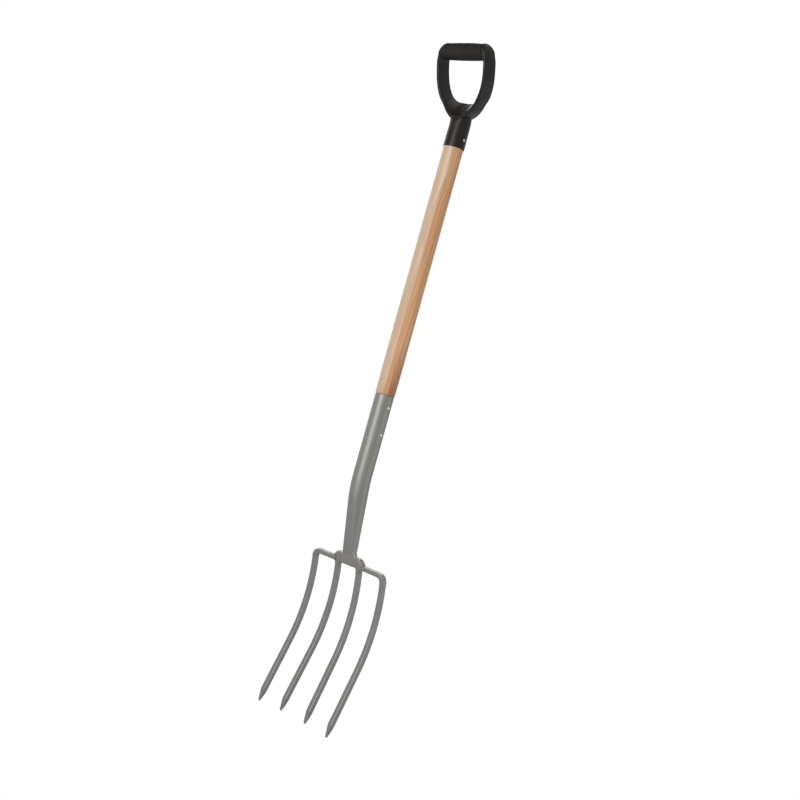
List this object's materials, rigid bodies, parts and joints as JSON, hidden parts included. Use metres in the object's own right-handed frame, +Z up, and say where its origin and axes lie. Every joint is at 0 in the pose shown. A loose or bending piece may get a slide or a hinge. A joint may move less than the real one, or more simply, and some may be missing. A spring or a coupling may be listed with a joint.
{
  "type": "pitchfork",
  "caption": "Four-tine digging fork with a bent tubular steel socket, a turned wooden shaft and a moulded D-shaped grip.",
  "frame": {"origin": "under the middle of the fork's bounding box, level with the points of the outer tines", "axes": "+Z up along the shaft from the tine points to the grip, +X across the fork towards its right, -Y towards the front, which is the hollow side of the tines and the side that the grip leans to"},
  "size_m": [0.1898, 0.0934, 1.236],
  "materials": {
    "grip_plastic": "satin moulded",
    "bar_plastic": "satin moulded",
    "ash_wood": "satin lacquer",
    "coated_steel": "satin grey coating",
    "weld_steel": "coated weld bead",
    "rivet_steel": "bright"
  },
  "bodies": {
    "root": {"grip_frame": "grip_plastic", "grip_sleeve": "bar_plastic", "grip_rivet": "rivet_steel", "shaft": "ash_wood", "socket": "coated_steel", "socket_rivet_upper": "rivet_steel", "socket_rivet_lower": "rivet_steel", "centre_fork": "coated_steel", "outer_tine_left": "coated_steel", "outer_tine_right": "coated_steel", "weld_left": "weld_steel", "weld_right": "weld_steel", "weld_socket": "weld_steel"}
  },
  "joints": []
}
